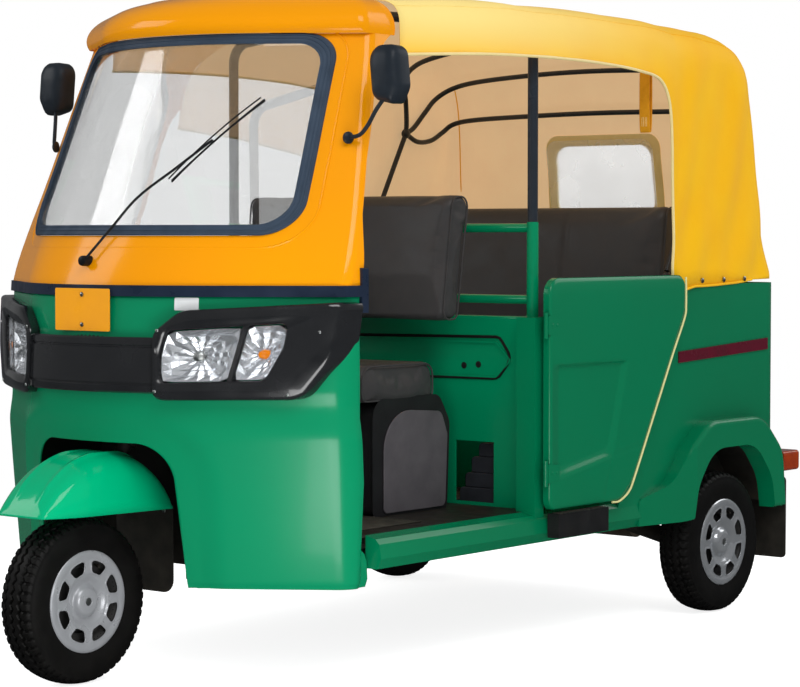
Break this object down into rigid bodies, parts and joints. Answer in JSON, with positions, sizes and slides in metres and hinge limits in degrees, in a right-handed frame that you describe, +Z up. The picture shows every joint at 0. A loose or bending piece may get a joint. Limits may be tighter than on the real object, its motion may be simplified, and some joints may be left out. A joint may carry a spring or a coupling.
{
  "type": "auto rickshaw",
  "caption": "Three-wheeled auto rickshaw with a moulded front cap, fabric canopy, half door, rear engine lid and steered front wheel.",
  "frame": {"origin": "centre of the bounding box at ground level", "axes": "+X to the vehicle's left, +Y to its rear, +Z up"},
  "size_m": [1.3434, 2.6309, 1.7419],
  "materials": {
    "yellow_paint": "gloss",
    "green_paint": "gloss",
    "black_plastic": "satin",
    "dark_trim": "satin",
    "seal_rubber": "matte",
    "flap_rubber": "matte",
    "tyre_rubber": "matte",
    "wheel_silver": "satin",
    "clear_glass": "gloss",
    "lamp_glass": "gloss",
    "reflector_chrome": "polished",
    "seat_vinyl": "satin",
    "seat_plastic": "satin",
    "canopy_fabric": "matte",
    "frame_black": "satin",
    "chassis_black": "satin",
    "engine_alloy": "cast",
    "exhaust_steel": "matte",
    "plate_yellow": "satin",
    "tail_red": "gloss",
    "trim_maroon": "gloss",
    "strap_yellow": "woven"
  },
  "bodies": {
    "body": {"underframe": "chassis_black", "floor_pan": "chassis_black", "nose_shell": "green_paint", "door_jambs": "green_paint", "windscreen_surround": "yellow_paint", "windscreen_seal": "seal_rubber", "windscreen_glass": "clear_glass", "belt_trim": "dark_trim", "lamp_band": "black_plastic", "headlamp_reflectors": "reflector_chrome", "headlamp_lenses": "lamp_glass", "front_plate": "plate_yellow", "dashboard": "black_plastic", "left_side_panel": "green_paint", "right_side_panel": "green_paint", "seat_bulkhead": "green_paint", "wheel_housings": "chassis_black", "rear_panel": "green_paint", "canopy": "canopy_fabric", "rear_window": "clear_glass", "hood_bows": "frame_black", "pillar_posts": "frame_black", "guard_rails": "green_paint", "partition_panel": "green_paint", "driver_seat_base": "seat_plastic", "driver_seat_cushion": "seat_vinyl", "driver_seat_back": "seat_vinyl", "passenger_seat_cushion": "seat_vinyl", "passenger_seat_back": "seat_vinyl", "engine_block": "engine_alloy", "rear_suspension": "chassis_black", "rear_shocks": "chassis_black", "rear_bumper": "chassis_black", "silencer": "exhaust_steel", "mirrors": "black_plastic", "wiper": "black_plastic", "side_steps": "black_plastic", "side_trims": "trim_maroon", "tail_lamps": "tail_red", "mud_flaps": "flap_rubber", "grab_strap": "strap_yellow"},
    "steering": {"fork": "chassis_black", "handlebar": "frame_black", "front_mudguard": "green_paint"},
    "front_wheel": {"front_tyre": "tyre_rubber", "front_wheel": "wheel_silver"},
    "rear_left_wheel": {"rear_left_tyre": "tyre_rubber", "rear_left_wheel": "wheel_silver"},
    "rear_right_wheel": {"rear_right_tyre": "tyre_rubber", "rear_right_wheel": "wheel_silver"},
    "passenger_door": {"passenger_door": "green_paint"},
    "engine_lid": {"engine_lid": "green_paint"}
  },
  "joints": [
    {"name": "steering_turn", "type": "hinge", "parent": "body", "child": "steering", "pos_m": [0, -1.1, 0.205], "axis": [0, 0.4067, 0.9135], "range_deg": [-35, 35]},
    {"name": "front_wheel_spin", "type": "hinge", "parent": "steering", "child": "front_wheel", "pos_m": [0, -1.11, 0.205], "axis": [1, 0, 0], "continuous": true},
    {"name": "rear_left_wheel_spin", "type": "hinge", "parent": "body", "child": "rear_left_wheel", "pos_m": [0.583, 0.875, 0.205], "axis": [1, 0, 0], "continuous": true},
    {"name": "rear_right_wheel_spin", "type": "hinge", "parent": "body", "child": "rear_right_wheel", "pos_m": [-0.583, 0.875, 0.205], "axis": [1, 0, 0], "continuous": true},
    {"name": "passenger_door_swing", "type": "hinge", "parent": "body", "child": "passenger_door", "pos_m": [0.631, -0.012, 0.665], "axis": [0, 0, -1], "range_deg": [0, 90]},
    {"name": "engine_lid_lift", "type": "hinge", "parent": "body", "child": "engine_lid", "pos_m": [0, 1.226, 0.895], "axis": [1, 0, 0], "range_deg": [0, 70]}
  ]
}
